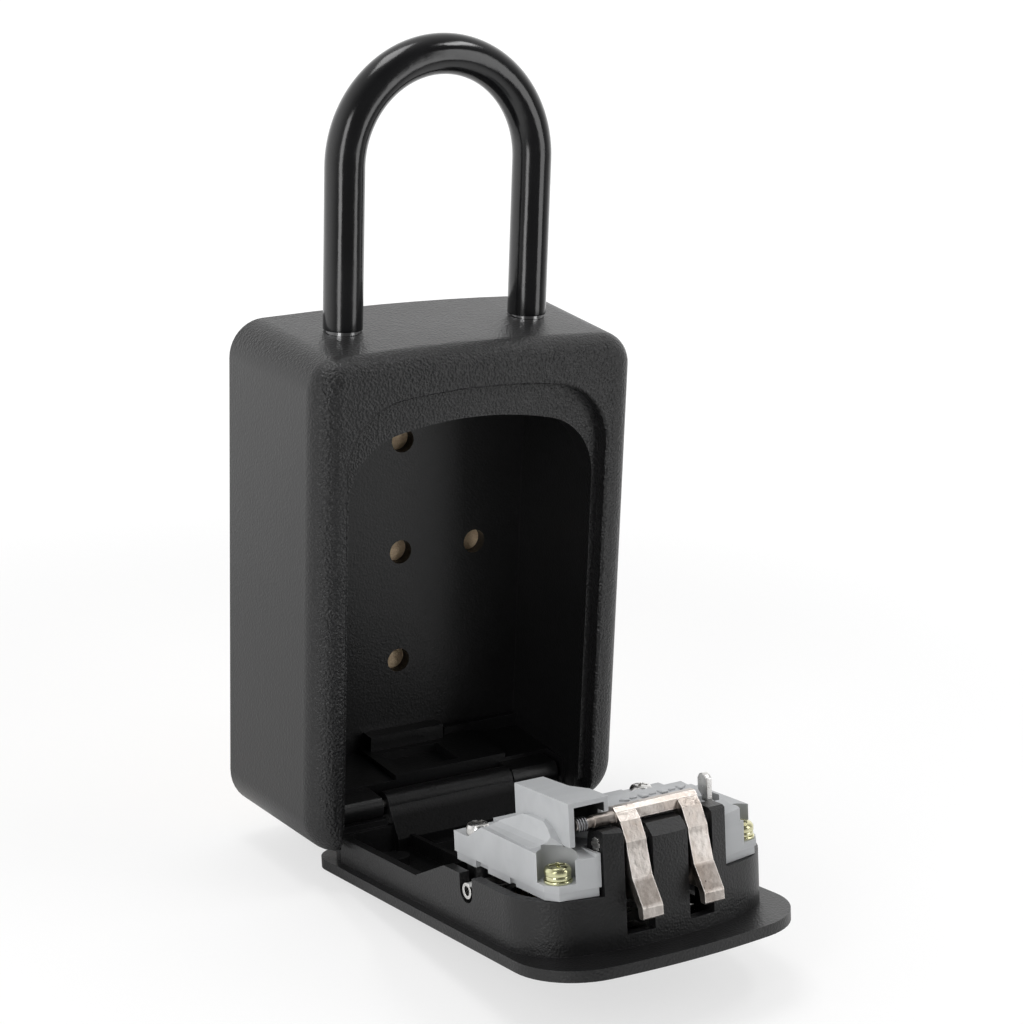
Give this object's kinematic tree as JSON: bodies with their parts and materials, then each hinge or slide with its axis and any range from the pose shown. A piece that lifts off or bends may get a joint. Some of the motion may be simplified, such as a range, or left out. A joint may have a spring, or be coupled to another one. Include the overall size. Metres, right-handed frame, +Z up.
{
  "type": "key lock box",
  "caption": "Portable key safe: cast box with a lift-off padlock shackle, drop-down door, number wheels, two-finger spring latch and reset lever.",
  "frame": {"origin": "centre of the middle mounting hole, in the plane of the casting's back face", "axes": "+Z up along the shackle, -Y out of the front where the door is, +X to the right seen from the front"},
  "size_m": [0.089, 0.1326, 0.1945],
  "materials": {
    "black_powder_coat": "fine satin powder coat on cast zinc",
    "black_casting": "satin black coat on cast zinc",
    "black_vinyl": "glossy dipped vinyl",
    "black_plastic": "moulded, fine grain",
    "grey_plastic": "moulded, satin",
    "polished_steel": "polished",
    "nickel_steel": "bright nickel plate",
    "yellow_zinc": "yellow passivated zinc plate",
    "raw_zinc": "tumbled die casting, warm tint",
    "brass": "turned",
    "spring_steel": "drawn wire and strip",
    "tan_pad": "pressed fibre pad"
  },
  "bodies": {
    "case": {"housing": "black_powder_coat", "back_pad": "tan_pad", "hinge_pin": "nickel_steel", "lock_case_cover": "black_plastic", "lock_case_screws": "nickel_steel"},
    "shackle": {"shackle": "polished_steel", "shackle_sleeve": "black_vinyl"},
    "lock_slide": {"lock_slide": "spring_steel"},
    "door": {"door": "black_casting", "mechanism_cover": "grey_plastic", "mechanism_base": "grey_plastic", "cover_screws_front": "yellow_zinc", "cover_screw_washers": "yellow_zinc", "cover_screws_rear": "nickel_steel", "latch_pin": "nickel_steel", "dial_spindle": "nickel_steel", "detent_spring": "spring_steel"},
    "wheel_1": {"dial_1": "black_plastic", "cam_1": "brass"},
    "wheel_2": {"dial_2": "black_plastic", "cam_2": "brass"},
    "wheel_3": {"dial_3": "black_plastic", "cam_3": "brass"},
    "wheel_4": {"dial_4": "black_plastic", "cam_4": "brass"},
    "release": {"release_slide": "black_plastic", "release_bar": "nickel_steel"},
    "claw": {"latch_claw": "raw_zinc", "latch_spring": "spring_steel"},
    "reset_lever": {"reset_lever": "nickel_steel"}
  },
  "joints": [
    {"name": "door_hinge", "type": "hinge", "parent": "case", "child": "door", "pos_m": [0, -0.0271, -0.0544], "axis": [1, 0, 0], "range_deg": [-81.4, 8.6]},
    {"name": "shackle_lift", "type": "slide", "parent": "case", "child": "shackle", "axis": [0, 0, 1], "range_m": [0, 0.0135]},
    {"name": "shackle_lock", "type": "slide", "parent": "case", "child": "lock_slide", "axis": [-1, 0, 0], "range_m": [0, 0.004]},
    {"name": "wheel_1_turn", "type": "hinge", "parent": "door", "child": "wheel_1", "pos_m": [-0.0129, -0.09065, -0.04661], "axis": [1, 0, 0], "continuous": true},
    {"name": "wheel_2_turn", "type": "hinge", "parent": "door", "child": "wheel_2", "pos_m": [-0.0043, -0.09065, -0.04661], "axis": [1, 0, 0], "continuous": true},
    {"name": "wheel_3_turn", "type": "hinge", "parent": "door", "child": "wheel_3", "pos_m": [0.0043, -0.09065, -0.04661], "axis": [1, 0, 0], "continuous": true},
    {"name": "wheel_4_turn", "type": "hinge", "parent": "door", "child": "wheel_4", "pos_m": [0.0129, -0.09065, -0.04661], "axis": [1, 0, 0], "continuous": true},
    {"name": "release_pull", "type": "slide", "parent": "door", "child": "release", "axis": [0, 0.9888, -0.1495], "range_m": [0, 0.0031]},
    {"name": "claw_pivot", "type": "hinge", "parent": "door", "child": "claw", "pos_m": [0, -0.11576, -0.02875], "axis": [1, 0, 0], "range_deg": [0, 15.2]},
    {"name": "reset_shift", "type": "slide", "parent": "door", "child": "reset_lever", "axis": [1, 0, 0], "range_m": [0, 0.0026]}
  ],
  "couplings": [
    {"joint": "claw_pivot", "follows": "release_pull", "rad_per_m": 85.569}
  ]
}
